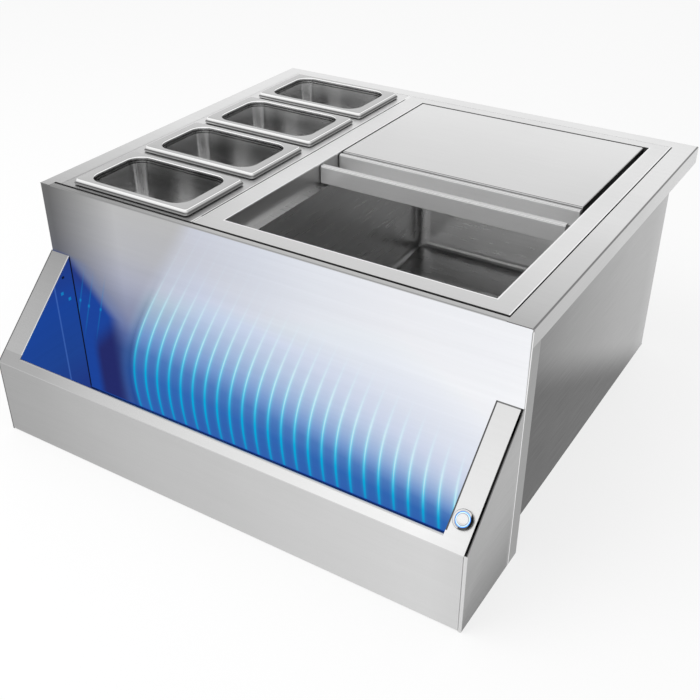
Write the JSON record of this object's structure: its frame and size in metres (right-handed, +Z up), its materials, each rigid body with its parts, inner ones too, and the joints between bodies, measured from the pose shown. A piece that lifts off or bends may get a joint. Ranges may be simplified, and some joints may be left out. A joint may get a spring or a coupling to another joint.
{
  "type": "bar sink with ice bin",
  "caption": "Drop-in stainless bar centre with an insulated lidded ice bin, lift-out garnish pans and a lit bottle rail on the front.",
  "frame": {"origin": "centre of the overall box at the base plane, which is the underside of the cabinet and the bottle rail", "axes": "+X to the user's right, +Y away from the user (the bottle rail faces -Y), +Z up"},
  "size_m": [0.642, 0.646, 0.3069],
  "materials": {
    "brushed_sheet": "fine straight brushing along the width",
    "cabinet_sheet": "dull mill finish",
    "liner_sheet": "satin",
    "bright_sheet": "bright polished",
    "bright_metal": "polished",
    "aluminium_channel": "clear anodised",
    "foam": "rigid closed-cell foam",
    "white_plastic": "smooth",
    "black_plastic": "smooth",
    "black_rubber": "matte",
    "light_chip": "glowing blue",
    "light_ring": "glowing blue"
  },
  "bodies": {
    "cabinet": {"deck_frame": "brushed_sheet", "front_apron": "brushed_sheet", "side_panel_left": "cabinet_sheet", "side_panel_right": "cabinet_sheet", "rear_panel": "cabinet_sheet", "bottom_panel": "cabinet_sheet", "centre_support": "cabinet_sheet", "garnish_frame": "brushed_sheet", "bin_frame": "brushed_sheet", "ice_bin_liner": "liner_sheet", "insulation_left": "foam", "insulation_right": "foam", "insulation_front": "foam", "insulation_rear": "foam", "insulation_floor": "foam", "lid_rest_rails": "cabinet_sheet", "rail_fascia": "brushed_sheet", "rail_end_left": "brushed_sheet", "rail_end_right": "brushed_sheet", "rail_cheek_left": "cabinet_sheet", "rail_cheek_right": "cabinet_sheet", "rail_floor": "cabinet_sheet", "led_channel": "aluminium_channel", "led_board": "white_plastic", "led_chips": "light_chip", "switch_housing": "bright_metal", "switch_seal": "black_rubber", "switch_light_ring": "light_ring", "switch_nut": "bright_metal", "drain_flange": "bright_metal", "drain_gasket": "black_rubber", "drain_nut": "bright_metal", "drain_tail": "bright_metal", "power_inlet": "black_plastic", "power_inlet_nut": "bright_metal", "panel_screws": "bright_metal"},
    "front_lid": {"front_lid_tray": "brushed_sheet", "lid_glides": "white_plastic"},
    "rear_lid": {"rear_lid_cover": "brushed_sheet", "rear_lid_nosing": "brushed_sheet"},
    "pan_1": {"garnish_pan_1": "bright_sheet"},
    "pan_2": {"garnish_pan_2": "bright_sheet"},
    "pan_3": {"garnish_pan_3": "bright_sheet"},
    "pan_4": {"garnish_pan_4": "bright_sheet"},
    "switch_button": {"switch_cap": "bright_metal"},
    "strainer": {"drain_strainer": "bright_metal"}
  },
  "joints": [
    {"name": "front_lid_slide", "type": "slide", "parent": "cabinet", "child": "front_lid", "axis": [0, -1, 0], "range_m": [0, 0.191]},
    {"name": "rear_lid_lift", "type": "slide", "parent": "cabinet", "child": "rear_lid", "axis": [0, 0, 1], "range_m": [0, 0.05]},
    {"name": "pan_1_lift", "type": "slide", "parent": "cabinet", "child": "pan_1", "axis": [0, 0, 1], "range_m": [0, 0.11]},
    {"name": "pan_2_lift", "type": "slide", "parent": "cabinet", "child": "pan_2", "axis": [0, 0, 1], "range_m": [0, 0.11]},
    {"name": "pan_3_lift", "type": "slide", "parent": "cabinet", "child": "pan_3", "axis": [0, 0, 1], "range_m": [0, 0.11]},
    {"name": "pan_4_lift", "type": "slide", "parent": "cabinet", "child": "pan_4", "axis": [0, 0, 1], "range_m": [0, 0.11]},
    {"name": "switch_press", "type": "slide", "parent": "cabinet", "child": "switch_button", "axis": [0, 0.6874, -0.7263], "range_m": [0, 0.002], "stiffness_N_per_m": 400, "springref_m": -0.002},
    {"name": "strainer_lift", "type": "slide", "parent": "cabinet", "child": "strainer", "axis": [0, 0, 1], "range_m": [0, 0.05]}
  ]
}
